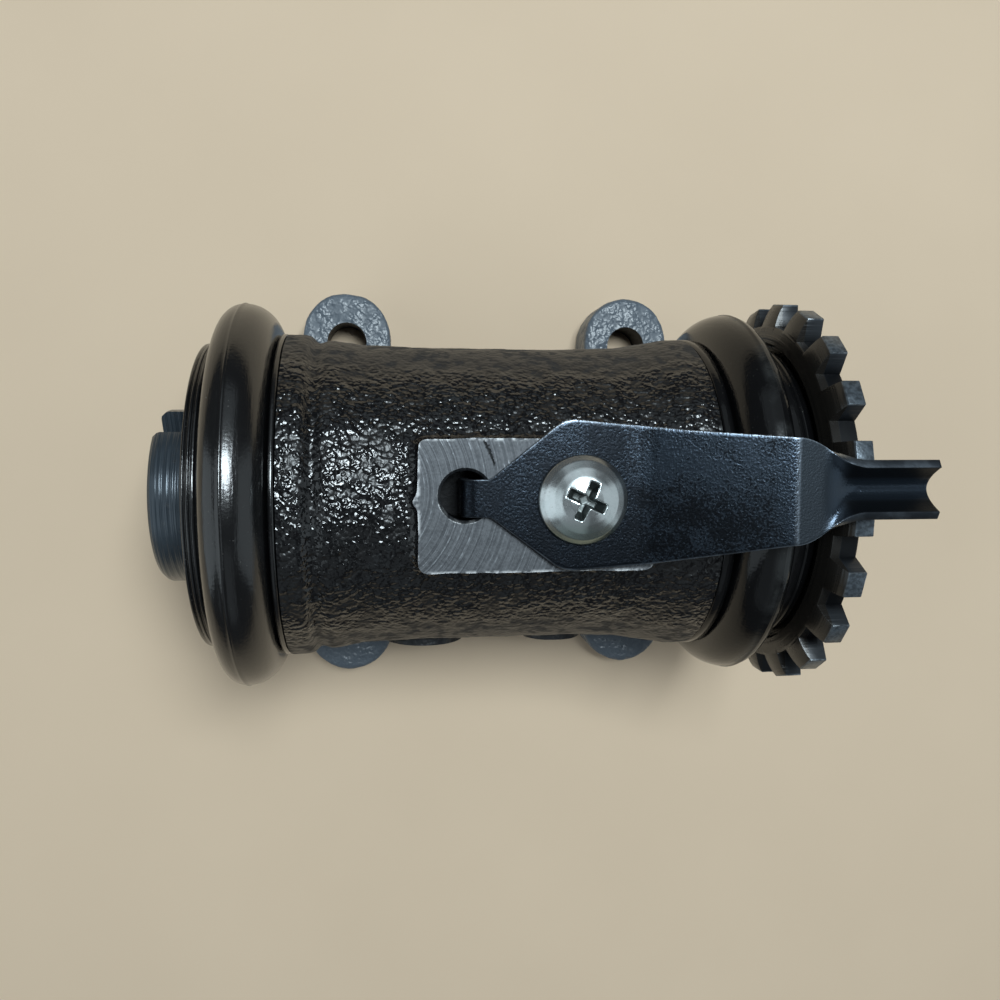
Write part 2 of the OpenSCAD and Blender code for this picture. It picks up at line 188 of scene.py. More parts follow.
collar_r, waist_r = 22.9, 21.3
plain_blank, wheel_blank = -36, 30
plain_collar = [(plain_blank, 0), (plain_blank, collar_r), (-28.6, collar_r), (-28.0, 22.6)]
groove = [(-27.6, 21.7), (-26.8, 21.6), (-26.2, 22.2)]
waist = [(-25, 22.15), (-21, 21.5), (-12, waist_r), (8, waist_r), (15, 21.5), (19.4, 22.2)]
wheel_collar = [(22.9, collar_r), (wheel_blank, collar_r), (wheel_blank, 0)]
barrel = turned("casting", plain_collar + groove + waist + wheel_collar)

pad_x0, pad_x1, pad_half, pad_corner = -14.3, 15.5, 8.35, 1.1
pad_root, pad_top, pad_stock = 45, 54.6, 0.8
pad = block("pad", (pad_x0, -pad_half, pad_root), (pad_x1, pad_half, pad_top + pad_stock))
bpy.ops.object.mode_set(mode="EDIT")
bpy.ops.mesh.select_mode(type="EDGE")
bpy.ops.mesh.select_all(action="DESELECT")
bpy.ops.object.mode_set(mode="OBJECT")
for edge in pad.data.edges:
    lower, upper = [pad.data.vertices[i].co for i in edge.vertices]
    edge.select = abs(lower.z - upper.z) > mm
bpy.ops.object.mode_set(mode="EDIT")
bpy.ops.mesh.bevel(offset=pad_corner * mm, segments=4)
bpy.ops.object.mode_set(mode="OBJECT")

mounts = {mount["name"]: mount for mount in frame["record"]["mounts"]}
lug_holes = mounts["mounting_lugs"]["dims"]
lug_x, lug_y = lug_holes["spacing_x_mm"] / 2, lug_holes["spacing_y_mm"] / 2
lug_signs = [(sx, sy) for sx in (-1, 1) for sy in (-1, 1)]
lug_nose_y, lug_nose_r, lug_top, foot_stock = 25.3, 7.4, 7.4, 1
lug_webs = {-1: (-30.5, -17), 1: (17, 24.5)}
rough = [barrel, pad]
for sx, sy in lug_signs:
    tip = sy * lug_nose_y
    web_x0, web_x1 = lug_webs[sx]
    rough.append(rod("lug nose", (sx * lug_x, tip, -foot_stock), lug_nose_r, lug_top + foot_stock, sides=72))
    rough.append(block("lug web", (web_x0, min(0, tip), -foot_stock), (web_x1, max(0, tip), lug_top)))
flash_spot, flash_r, flash_length = (-14.2, 0.6, 48), 0.75, 7.4
foot_x0, foot_x1, foot_half, foot_top = -30.4, 24.4, 13, 16
port_z, port_face, boss_root, boss_length = 19, -24.4, -5, 20.6
port_way = (math.radians(90), 0, 0)
ports = [(mounts[name]["pos_m"][0] / mm, mounts[name]["dims"]["r_mm"], pitch, boss_r)
         for name, pitch, boss_r in (("inlet_port", 1.25, 6.25), ("linking_port", 1.0, 4.95))]
rough.append(rod("pad flash", flash_spot, flash_r, flash_length))
rough.append(block("foot", (foot_x0, -foot_half, -foot_stock), (foot_x1, foot_half, foot_top)))
for port_x, _, _, boss_r in ports:
    rough.append(rod("boss", (port_x, boss_root, port_z), boss_r, boss_length, turn=port_way))
body = joined("body_casting", rough)
sand_grain = 0.48
shaped(body, "REMESH", mode="VOXEL", voxel_size=sand_grain * mm)
shaped(body, "SMOOTH", factor=0.5, iterations=7)
for grain_size, height in ((4.5, 0.26), (1.2, 0.12)):
    sand = bpy.data.textures.new("sand skin", "CLOUDS")
    sand.noise_scale = grain_size * mm
    sand.noise_depth = 1
    shaped(body, "DISPLACE", texture=sand, texture_coords="LOCAL", strength=height * mm, mid_level=0.6)

plain_seat, wheel_seat, spigot, spigot_r = -31.3, 25.3, 3.4, 19.2
plain_tip, wheel_tip = plain_seat - spigot, wheel_seat + spigot
bore_r, bore_lead = 14.3, 1.0
clear_r, past, mill = 26, 40, 8
plain_end = [(-past, 0), (-past, clear_r), (plain_seat, clear_r), (plain_seat, spigot_r),
             (plain_tip, spigot_r), (plain_tip, bore_r + bore_lead), (plain_tip + bore_lead, bore_r)]
wheel_end = [(wheel_tip - bore_lead, bore_r), (wheel_tip, bore_r + bore_lead), (wheel_tip, spigot_r),
             (wheel_seat, spigot_r), (wheel_seat, clear_r), (past, clear_r), (past, 0)]
cut(body, turned("boring", plain_end + wheel_end))
port_x0, port_x1, port_low, port_high = -22, 18, 10, 28
cut(body, block("pad mill", (-past, -past, pad_top), (past, past, pad_top + mill)))
cut(body, block("foot mill", (-past, -past, -mill), (past, past, 0)))
cut(body, block("port mill", (port_x0, -past, port_low), (port_x1, port_face, port_high)))
lug_hole_r, lug_drill_foot, lug_drill_length = lug_holes["hole_r_mm"], -2, 14
for sx, sy in lug_signs:
    cut(body, rod("lug drill", (sx * lug_x, sy * lug_y, lug_drill_foot), lug_hole_r, lug_drill_length))
tongue_x, tongue_y, tongue_hole_r, tongue_depth = -8.4, 1.3, 3.1, 6
chamfer_depth, chamfer_height, chamfer_flare = 0.4, 0.8, 0.7
screw_x, screw_y, screw_hole_r, screw_depth = 5.95, 0.8, 2.55, 7
clear = 2
cut(body, rod("tongue drill", (tongue_x, tongue_y, pad_top - tongue_depth), tongue_hole_r,
              tongue_depth + clear))
cut(body, rod("tongue chamfer", (tongue_x, tongue_y, pad_top - chamfer_depth), tongue_hole_r, chamfer_height,
              flare=chamfer_flare))
cut(body, rod("screw drill", (screw_x, screw_y, pad_top - screw_depth), screw_hole_r, screw_depth + clear))
tap_depth, drilling_root, drilling_r, drilling_length = 9.5, -6, 1.5, 12
for port_x, thread_r, pitch, _ in ports:
    tap_foot = (port_x, port_face + tap_depth, port_z)
    drilling_foot = (port_x, drilling_root, port_z)
    cut(body, tapped("tap", tap_foot, thread_r, tap_depth + 1, pitch, port_way))
    cut(body, rod("fluid drill", drilling_foot, drilling_r, drilling_length, port_way, sides=32))
smooth(body, 48)


def dressed(piece, material, body_name, node):
    """Gives a piece its finish, attaches it to the body it moves with, and hides the solid from model.glb
    that it stands for.
    """
    piece.data.materials.clear()
    piece.data.materials.append(material)
    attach(piece, body_name)
    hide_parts(node)


class Shade:
    """A value on its way to a shader: an output socket that can take part in sums."""

    def __init__(self, finish, socket):
        self.finish, self.socket = finish, socket

    def sum(self, operation, first, second=0.0):
        return self.finish.node("ShaderNodeMath", {"operation": operation}, {0: first, 1: second})

    def __add__(self, other):
        return self.sum("ADD", self, other)

    def __radd__(self, other):
        return self.sum("ADD", other, self)

    def __sub__(self, other):
        return self.sum("SUBTRACT", self, other)

    def __rsub__(self, other):
        return self.sum("SUBTRACT", other, self)

    def __mul__(self, other):
        return self.sum("MULTIPLY", self, other)

    def __rmul__(self, other):
        return self.sum("MULTIPLY", other, self)

    def __abs__(self):
        return self.sum("ABSOLUTE", self)


class Finish:
    """A surface finish: one material, the nodes that make it, and the Principled shader that they feed."""

    def __init__(self, name, **steady):
        self.material = bpy.data.materials.new(name)
        self.material.use_nodes = True
        self.tree = self.material.node_tree
        self.shader = self.tree.nodes["Principled BSDF"]
        self.shade(**steady)
        self.place = self.node("ShaderNodeTexCoord", out="Object")  # in metres, and from the next line in mm
        self.place = self.stretched(1 / mm, 1 / mm, 1 / mm)

    def node(self, kind, settings=None, sockets=None, out=0):
        """Adds a node: its type, its settings, and the values or links of its sockets."""
        made = self.tree.nodes.new(kind)
        for name, value in (settings or {}).items():
            setattr(made, name, value)
        for name, value in (sockets or {}).items():
            self.feed(made.inputs[name], value)
        return Shade(self, made.outputs[out])

    def feed(self, socket, value):
        """Links a value to a socket, or sets the socket to a number, place or colour."""
        if isinstance(value, Shade):
            self.tree.links.new(value.socket, socket)
        else:
            socket.default_value = value

    def shade(self, **sockets):
        """Sets the shader's sockets, named with _ for a space, and gives the material."""
        for name, value in sockets.items():
            self.feed(self.shader.inputs[name.replace("_", " ")], value)
        return self.material

    def stretched(self, x, y, z):
        """The place with each of its three values multiplied by a number of its own."""
        return self.node("ShaderNodeVectorMath", {"operation": "MULTIPLY"}, {0: self.place, 1: (x, y, z)})

    def along(self):
        """The place on the piece as three values in mm."""
        parts = self.node("ShaderNodeSeparateXYZ", {}, {0: self.place})
        return [Shade(self, output) for output in parts.socket.node.outputs]

    def distance(self, spot, place=None):
        """How far the place is from a spot, in mm."""
        return self.node("ShaderNodeVectorMath", {"operation": "DISTANCE"}, {0: place or self.place, 1: spot},
                         out="Value")

    def noise(self, size, detail=2.0, roughness=0.5, place=None):
        """Cloudy noise from 0 to 1, in lumps of that many mm."""
        return self.node("ShaderNodeTexNoise", {}, {"Vector": place or self.place, "Scale": 1 / size,
                                                    "Detail": detail, "Roughness": roughness})

    def lines(self, along, count, roughness):
        """Noise that changes along one value alone, with about that many lines to the mm."""
        return self.node("ShaderNodeTexNoise", {"noise_dimensions": "1D"},
                         {"W": along, "Scale": count, "Detail": 2, "Roughness": roughness})

    def step(self, value, low, high):
        """0 below low, 1 above high, and a smooth rise between."""
        return self.node("ShaderNodeMapRange", {"interpolation_type": "SMOOTHSTEP"},
                         {"Value": value, "From Min": low, "From Max": high})

    def mix(self, amount, first, second):
        """The first colour, turning into the second as the amount goes from 0 to 1."""
        ends = [end if isinstance(end, Shade) else (*end, 1) for end in (first, second)]
        return self.node("ShaderNodeMix", {"data_type": "RGBA"}, {0: amount, 6: ends[0], 7: ends[1]}, out=2)

    def bump(self, height, depth, under=None):
        """A relief that many mm deep, on top of another one if there is one."""
        sockets = {"Height": height, "Distance": depth * mm}
        if under:
            sockets["Normal"] = under
        return self.node("ShaderNodeBump", {}, sockets)


paint = Finish("black_paint_on_cast_iron", Specular_IOR_Level=0.68)
bead_size, lump_size, patch_size = 0.62, 2.0, 9
soot, dusty = (0.002, 0.002, 0.0025), (0.012, 0.013, 0.014)
# The second pair is painted light: a darker, bluer black as painted shade on the barrel's flanks, and a light
# blue-grey as a painted reflection on the lug tops.
flank_shade, lug_reflection = (0.0008, 0.0025, 0.0055), (0.128, 0.158, 0.192)
z = paint.along()[2]
bead = paint.node("ShaderNodeTexVoronoi", {"feature": "SMOOTH_F1"},
                  {"Vector": paint.place, "Scale": 1 / bead_size, "Smoothness": 0.3})
grain = paint.noise(bead_size, 1.0, 0.4)
lumps = paint.noise(lump_size, 2)
worn = paint.step(paint.noise(patch_size, 3), 0.42, 0.66)
hollow = 1 - paint.step(lumps * 0.85 + worn * 0.1, 0.34, 0.46)
dust = paint.step(grain * 0.5 + lumps * 0.5, 0.46, 0.64) * (0.25 + worn * 0.6)
lug_face = 1 - paint.step(z, lug_top - 0.2, 10)
flank = (1 - paint.step(z, 41, 47)) * (1 - lug_face)
black = paint.mix(dust, soot, dusty)
# Painted shade: below the top of the barrel, the paint is coloured a darker, bluer black.
black = paint.mix(flank * 0.7, black, flank_shade)
# Painted reflection: the flat lug tops are coloured a light blue-grey, as if they mirrored the light above.
black = paint.mix(lug_face * 0.7, black, lug_reflection)
pebbles = (grain * 0.55 - bead * bead * 0.6) * (1 - flank * 0.45 - lug_face * 0.35)
gloss = 0.1 + paint.noise(1.4, 2) * 0.06
painted = paint.shade(Base_Color=black, Roughness=gloss + hollow * 0.25 + flank * 0.36 + lug_face * 0.22,
                      Normal=paint.bump(pebbles, 0.26, under=paint.bump(lumps, 0.45)))

bare = Finish("milled_iron")
dull, clean, polished = (0.060, 0.064, 0.070), (0.112, 0.118, 0.127), (0.30, 0.32, 0.34)
burr_and_highlight, dirt = (0.62, 0.63, 0.64), (0.012, 0.013, 0.014)
x, y, z = bare.along()
swirl = bare.lines(bare.distance((-22.5, 1.8, pad_top)), 2.7, 0.7)
patch = bare.noise(1.3, 4, 0.65)
bite = bare.step(swirl * 0.42 + patch * 0.34 + bare.noise(0.35, 2) * 0.24, 0.38, 0.62)
streak = bare.step(swirl, 0.6, 0.72) * bare.step(bare.noise(0.9, 3, 0.6), 0.5, 0.62)
pad_mid, pad_reach = (pad_x0 + pad_x1) / 2, (pad_x1 - pad_x0) / 2
rim = bare.step(abs(x - pad_mid), pad_reach - 0.55, pad_reach - 0.05)
rim = (rim + bare.step(abs(y), pad_half - 0.5, pad_half - 0.05)) * bare.step(z, pad_top - 0.3, pad_top - 0.1)
# The chamfer round the tongue hole is lightened on its lower side only: a painted highlight, joined in one
# mask with the burrs along the pad's edges.
mouth = 1 - bare.step(bare.distance((tongue_x, tongue_y, pad_top)), tongue_hole_r + 0.35, tongue_hole_r + 0.5)
rim = (rim + mouth * (1 - bare.step(y, 0, 2.5))) * bare.step(bare.noise(1.1, 3), 0.42, 0.6)
score_x, score_y, score_cos, score_sin = -6.0, 8.1, 0.937, 0.349
sway = (bare.noise(0.7, 3) - 0.5) * 0.9
aside = abs((x - score_x) * score_cos + (y - score_y) * score_sin + sway)
reach = (x - score_x) * score_sin - (y - score_y) * score_cos
score = (1 - bare.step(aside, 0.06, 0.2)) * bare.step(reach, -0.2, 0.3) * (1 - bare.step(reach, 3.0, 3.6))
iron = bare.mix(bite, dull, clean)
iron = bare.mix(streak * 0.5, iron, polished)
# Pale steel: real burrs on the pad's edges, and a painted highlight on the lower side of the hole's chamfer.
iron = bare.mix(rim * 0.7, iron, burr_and_highlight)
iron = bare.mix(score, iron, dirt)
milled = bare.shade(Base_Color=iron, Metallic=0.85 - bite * 0.05,
                    Roughness=0.46 - streak * 0.1 + patch * 0.12,
                    Normal=bare.bump(swirl * 0.45 + patch * 0.4 - score * 0.8, 0.07))

# The insides of the drilled holes are coloured near-black and given little sheen: painted shade, mottled a
# little.
bored = Finish("oily_drilled_iron", Specular_IOR_Level=0.12)
hole_mottle = bored.noise(1.5, 3)
hole_shade_black = bored.mix(hole_mottle, (0.0015, 0.0015, 0.002), (0.006, 0.006, 0.007))
drilled = bored.shade(Base_Color=hole_shade_black, Roughness=0.35 + hole_mottle * 0.2,
                      Normal=bored.bump(bored.noise(0.4, 2), 0.03))

dressed(body, painted, "cylinder", "cylinder_body")
body.data.materials.append(milled)
body.data.materials.append(drilled)
near, square_on = 0.02, 0.99
holes = [(tongue_x, tongue_y, tongue_hole_r + 0.05, pad_top - 0.5),
         (screw_x, screw_y, screw_hole_r + 0.05, pad_top - 0.1)]
holes += [(sx * lug_x, sy * lug_y, lug_hole_r + 0.03, lug_top - 0.4) for sx, sy in lug_signs]
for face in body.data.polygons:
    spot, way = face.center / mm, face.normal
    radius = math.hypot(spot.y, spot.z - bore_height)
    on_pad = spot.z > pad_top - near and way.z > square_on
    on_foot = spot.z < near
    on_port = spot.y < port_face + near and spot.z > port_low
    on_seat = abs(way.x) > square_on and min(abs(spot.x - plain_seat), abs(spot.x - wheel_seat)) < near
    faced = on_pad or on_foot or on_port or on_seat
    on_bore = radius < bore_r + bore_lead + 0.1
    on_spigot = radius < spigot_r + 0.05 and not plain_seat + 0.3 < spot.x < wheel_seat - 0.3
    from_tongue = math.hypot(spot.x - tongue_x, spot.y - tongue_y)
    on_chamfer = spot.z > pad_top - 0.5 and from_tongue < tongue_hole_r + 0.38
    in_hole = any(math.hypot(spot.x - hole_x, spot.y - hole_y) < hole_r and 0.1 < spot.z < top
                  for hole_x, hole_y, hole_r, top in holes)
    face.use_smooth = not faced
    face.material_index = 2 if in_hole else int(faced or on_bore or on_spigot or on_chamfer)


# In the bore, a coil spring with a pressed disc at each end keeps two rubber cups spread against the pistons.
# The spring is drawn wire and the discs are pressings, both plain steel, and the cups are moulded rubber.
wire = Finish("plain_steel_wire", Metallic=1.0)
drawn = wire.noise(0.5, 3, place=wire.stretched(0.2, 1, 1))
plain_steel = wire.shade(Base_Color=wire.mix(drawn, (0.30, 0.30, 0.31), (0.55, 0.55, 0.56)),
                         Roughness=0.28 + drawn * 0.2)
for node in ("cup_spring", "plain_cup_disc", "adjuster_cup_disc"):
    slots = frame["nodes"][node].data.materials
    slots.clear()
    slots.append(plain_steel)

moulded = Finish("moulded_cup_rubber")
bloom = moulded.noise(3, 4, 0.6)
cup_rubber = moulded.shade(Base_Color=moulded.mix(bloom, (0.012, 0.012, 0.013), (0.03, 0.03, 0.031)),
                           Roughness=0.38 + bloom * 0.2, Normal=moulded.bump(moulded.noise(0.3, 3), 0.03))
cup_line = [(0, 0), (0, 13.3), (0.3, 13.9), (0.9, 14.15), (4.2, 14.2), (5.6, 14.25), (5.95, 14.1),
            (5.85, 13.8), (4.6, 11.9), (3.4, 10.5), (3.0, 10.1), (3.0, 0)]
for node, back, way, rides in (("plain_cup", -18.0, 1, "plain_side"),
                               ("adjuster_cup", 4.0, -1, "adjuster_side")):
    cup = turned(node + "_moulded", [(back + way * along, r) for along, r in cup_line], 96)
    smooth(cup, 40)
    dressed(cup, cup_rubber, rides, node)


# The plain piston is turned steel with a slotted head that takes the web of a brake shoe.
# It is blacked and oily, with the lathe's fine lines on its head, and a groove in it holds the boot's bead.
oxide = Finish("black_oxide_steel", Specular_IOR_Level=0.7)
lathe = oxide.lines(oxide.along()[0], 2.4, 0.6)
smear = oxide.noise(5, 4, 0.6)
rub = oxide.step(oxide.noise(1.2, 4, 0.65), 0.56, 0.72)
blacked = oxide.mix(smear, (0.020, 0.028, 0.037), (0.060, 0.078, 0.096))
blacked = oxide.mix(rub * 0.35, blacked, (0.15, 0.16, 0.17))
lathed = oxide.shade(Base_Color=blacked, Metallic=0.45 + rub * 0.3, Roughness=0.2 + smear * 0.1,
                     Normal=oxide.bump(lathe, 0.14))
head_r, land_r, groove_r = 12.2, 14.25, 10.5
groove_width, broken = 1.8, 0.1


def bead_groove(x):
    """The boot's groove in a piston, from its lower end on the bore, with broken edges."""
    far = x + groove_width
    return [(x - broken, head_r), (x, head_r - broken), (x, groove_r),
            (far, groove_r), (far, head_r - broken), (far + broken, head_r)]


def slotted(piece, x0, x1):
    """Mills the leaning slot for a shoe's web across a head, between two places on the bore."""
    half, lean = 3, math.radians(28)
    mill = block("slot mill", (x0, -20, -half), (x1, 20, half))
    cut(piece, placed(mill, (0, 0, bore_height), (lean, 0, 0)))


head = [(-49, 0), (-49, 11.1), (-48.9, 11.5), (-48.3, 12.05), (-47.9, head_r)]
land = [(-33.8, head_r), (-33.8, 13.9), (-33.4, land_r), (-18.7, land_r), (-18.3, 13.9), (-18.3, 0)]
piston = turned("piston_plain", head + bead_groove(-41.8) + land, 192)
slotted(piston, -52, -43.4)
smooth(piston, 30)
dressed(piston, lathed, "plain_side", "plain_piston")


# The adjuster piston is a hollow turned sleeve in the other half of the bore, blacked as the plain one is.
# The star wheel's own sleeve turns inside it.
hollow_r, hollow_end = 9.05, 11.6
land = [(4.3, 0), (4.3, 13.9), (4.7, land_r), (27.4, land_r), (27.8, 13.9), (27.8, head_r)]
open_end = [(38.4, head_r), (38.8, 11.8), (38.8, 9.45), (38.4, hollow_r),
            (hollow_end, hollow_r), (hollow_end, 0)]
sleeve = turned("piston_adjuster", land + bead_groove(35.9) + open_end, 144)
smooth(sleeve, 30)
dressed(sleeve, lathed, "adjuster_side", "adjuster_piston")


# A moulded rubber boot closes each end: a lip on the body's spigot, a round bulge and a ribbed neck.
# The bead inside the neck snaps into the piston's groove, and the bulge gives as the piston moves.
boot_held = 2.2


def moulded_rubber(name, sheen, roughness):
    """Black rubber with a film of chalk in patches, dust along the seam and a few light specks."""
    boot = Finish(name, Specular_IOR_Level=sheen)
    x = boot.along()[0]
    chalk = boot.noise(6, 4, 0.6)
    speck = boot.step(boot.noise(0.3, 1), 0.73, 0.8) * boot.step(chalk, 0.45, 0.6)
    ring = boot.noise(0.9, 3, place=boot.stretched(3, 0.25, 0.25))
    seam_dust = boot.step(x, 30.4, 31.6) - boot.step(x, 32.4, 33.4)
    seam_dust = seam_dust * boot.step(chalk, 0.35, 0.6)
    film = boot.mix(chalk, (0.0015, 0.0015, 0.0018), (0.0045, 0.0045, 0.0048))
    film = boot.mix(seam_dust * 0.5, film, (0.035, 0.037, 0.037))
    film = boot.mix(speck * 0.4, film, (0.13, 0.125, 0.11))
    return boot.shade(Base_Color=film, Roughness=roughness + chalk * 0.14 + seam_dust * 0.2 + speck * 0.2,
                      Normal=boot.bump(ring * 0.6 + boot.noise(0.4, 2) * 0.4, 0.045))


def arc(middle, radius, first, last, count):
    """Points on a circle in the (along, radius) plane, from one angle to another."""
    angles = [math.radians(first + (last - first) * i / count) for i in range(count + 1)]
    return [(middle[0] + radius * math.cos(a), middle[1] + radius * math.sin(a)) for a in angles]


def boot_line(length, bulge, side, crest, neck, bow, ribs):
    """The section of a boot from its lip outwards: over the bulge to the ribbed neck, and back inside."""
    wall, seam, seam_half = 1.4, 0.12, 0.16
    lip_r, grip_r, grip = 22.93, 19.25, 3.0
    bead_r, bead_end, bead_start = 10.7, length - 1, length - 2.4
    rib_depth, rib_half, neck_steps = 0.2, 0.22, 40
    mid = length / 2 + 0.1
    heart, shoulder, edge = crest - bulge, crest - side, mid - bulge - 0.2
    lip = [(0.06, 22.3), (0.14, 22.72), (0.34, lip_r), (edge - 0.22, lip_r), (edge - 0.06, 22.78),
           (edge, 22.4), (edge + 0.08, 22.2)]
    ridge = [(mid - seam_half, crest + seam / 2), (mid, crest + seam), (mid + seam_half, crest + seam / 2)]
    over = arc((mid, heart), bulge, 172, 93, 20) + ridge + arc((mid, shoulder), side, 85, 3, 14)
    root, low = mid + side, neck - bow
    outer = [(root, (shoulder + low) / 2), (root + 0.02, low + 0.35), (root + 0.12, low + 0.1)]
    for i in range(neck_steps + 1):
        along = root + 0.3 + (length - 0.4 - root) * i / neck_steps
        rib = rib_depth * max(0, 1 - min(abs(along - middle) for middle in ribs) / rib_half)
        outer.append((along, low + bow * (1 - (2 * i / neck_steps - 1) ** 2) - rib))
    outer += [(length - 0.02, low - 0.1), (length, low - 0.3)]
    bead = [(length, neck - 1.7), (length - 0.12, neck - 1.95), (length - 0.9, neck - 2.1),
            (bead_end, neck - 2.3), (bead_end, 12.5), (bead_end - 0.02, bead_r), (bead_start + 0.05, bead_r),
            (bead_start, 12.5), (bead_start, neck - 2.1), (root - wall, neck - 2)]
    inside = arc((mid, shoulder), side - wall, 0, 90, 8) + arc((mid, heart), bulge - wall, 92, 176, 14)
    back = [(mid - bulge + wall + 0.03, heart - 0.2), (grip, 21.3), (grip, 19.5), (grip - 0.25, grip_r),
            (0.3, grip_r), (0.06, 19.5)]
    return lip + over + outer + bead + inside + back + lip[:1]


plain_line = boot_line(11.3, 4.6, 3.0, 27, 21.6, 0.2, (9.5, 10.15, 10.8))
adjuster_line = boot_line(13.2, 4.8, 1.8, 26.6, 22.3, 0.7, (9.6, 11.7))
# The two boots are one rubber. The plain boot's higher sheen and the adjuster boot's lower sheen make a lit
# copy and a shaded copy of it: painted light and painted shade.
for name, node, seat, way, line, free, rides, sheen, roughness in (
        ("boot_plain", "plain_boot", plain_seat, -1, plain_line, 8.75, "plain_side", 0.85, 0.13),
        ("boot_adjuster", "adjuster_boot", wheel_seat, 1, adjuster_line, 8.5, "adjuster_side", 0.38, 0.05)):
    cover = turned(name, [(seat + way * along, r) for along, r in line], 192)
    smooth(cover, 50)
    (seat + way * boot_held) * mm
    (seat + way * free) * mm
    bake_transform(cover)
    dressed(cover, moulded_rubber(name + "_rubber", sheen, roughness), "cylinder", node)


# The star wheel is a turned and milled steel disc with square teeth, on a sleeve in the adjuster piston.
# It is blacked, and its teeth are rubbed bright along their edges where a tool has levered them round.
tooth_count, tooth_half, tooth_flare = 21, 1.8, 0.26 / 3.2
tip_r, rim_r, root_r = 28.36, 25.2, 24.6
wheel_back, tooth_front = 42.36, 40.05
tooth_line = [(38.66, root_r), (38.78, rim_r), (38.96, 25.9), (39.14, 26.5), (39.36, 27.1), (39.62, 27.65),
              (tooth_front, tip_r), (wheel_back, tip_r), (wheel_back, root_r)]
teeth = outlined("teeth", tooth_line, y=-tooth_half)
bpy.ops.mesh.edge_face_add()
bpy.ops.mesh.extrude_region_move(TRANSFORM_OT_translate={"value": (0, 2 * tooth_half * mm, 0)})
tidied()
for point in teeth.data.vertices:
    point.co.y *= 1 + tooth_flare * (tip_r - (point.co.z - axis) / mm)
shaped(teeth, "BEVEL", width=0.12 * mm, segments=2, limit_method="ANGLE", angle_limit=math.radians(35))
tooth_pitch, first_turn, copies = math.tau / tooth_count, math.radians(4.3), tooth_count - 1
bpy.ops.object.mode_set(mode="EDIT")
bpy.ops.mesh.select_all(action="SELECT")
bpy.ops.mesh.spin(steps=copies, angle=tooth_pitch * copies, dupli=True, center=(0, 0, axis), axis=(1, 0, 0))
bpy.ops.mesh.select_all(action="SELECT")
bpy.ops.transform.rotate(value=tooth_pitch / 2 + first_turn, orient_axis="X", center_override=(0, 0, axis))
bpy.ops.object.mode_set(mode="OBJECT")
nut_r, sleeve_r, sleeve_end = 6.05, 9, 12.3
web_front, web_back, hub_end = 39.1, 41.2, 43.4
sleeve_line = [(sleeve_end, nut_r), (sleeve_end, 8.6), (12.7, sleeve_r), (web_front, sleeve_r)]
cone_line = [(web_front, 22.3), (38.6, 22.5), (38.3, 22.62), (38.2, 22.8), (38.36, 23.5), (38.55, 24.3),
             (38.78, 25.15)]
rim_line = [(38.86, rim_r), (42.2, rim_r), (wheel_back, 25.04), (wheel_back, 23.4), (42.2, 22.8)]
dish_line = [(41.35, 21.65), (web_back, 21.3), (web_back, 13.9), (41.45, 13.3)]
hub_line = [(43.1, 12.1), (hub_end, 11.8), (hub_end, 6.8), (42.7, nut_r), (sleeve_end, nut_r)]
wheel = turned("star_wheel_milled", sleeve_line + cone_line + rim_line + dish_line + hub_line, 252)
cut(wheel, teeth, "UNION")
smooth(wheel, 28)

star = Finish("blacked_star_wheel", Specular_IOR_Level=0.4)
oily_black, blue_black, floor_reflection_brown = (0.012, 0.0135, 0.016), (0.032, 0.036, 0.041), (0.013, 0.0115, 0.010)
shadow_black, worn_steel = (0.004, 0.0045, 0.0055), (0.13, 0.155, 0.18)
from_axis = star.distance((0, 0, bore_height), place=star.stretched(0, 1, 1))
facing = star.lines(from_axis, 1.8, 0.6)
smear = star.noise(4, 4, 0.6)
scuff = star.noise(0.55, 3, 0.6)
tooth_top = star.step(from_axis, tip_r - 0.26, tip_r - 0.03)
front = 1 - star.step(star.along()[0], tooth_front - 0.15, tooth_front)
dish = (1 - star.step(from_axis, 25, 27)) * (1 - front)
deep = star.mix(smear, oily_black, blue_black)
# Painted reflection: the wheel's front face is coloured brown, standing in for the floor that it reflects.
deep = star.mix(front, deep, floor_reflection_brown)
deep = star.mix(dish, deep, shadow_black)
deep = star.mix(tooth_top * (0.35 + star.step(scuff, 0.35, 0.65) * 0.6), deep, worn_steel)
blackened = star.shade(Base_Color=deep, Metallic=0.3 + tooth_top * 0.3 - front * 0.3,
                       Roughness=0.26 + smear * 0.16 - front * 0.08,
                       Normal=star.bump(facing * (1 - tooth_top) + scuff * tooth_top, 0.05))
dressed(wheel, blackened, "wheel", "star_wheel")
rubbed = Finish("rubbed_tooth_edge")
nick = rubbed.step(rubbed.noise(0.7, 3), 0.36, 0.62)
edge_steel = rubbed.mix(nick, (0.03, 0.033, 0.038), (0.30, 0.32, 0.34))
wheel.data.materials.append(rubbed.shade(Base_Color=edge_steel, Metallic=0.5 + nick * 0.4,
                                         Roughness=0.36 - nick * 0.08))
for face in wheel.data.polygons:
    out = (face.center - Vector((face.center.x, 0, axis))) / mm
    sideways = abs(face.normal.dot(Vector((0, -out.z, out.y)).normalized()))
    side_edge = 0.35 < sideways < 0.85
    back_edge = out.length > 28 and 0.3 < face.normal.x < 0.93
    face.material_index = int(out.length > 25.8 and (side_edge or back_edge))


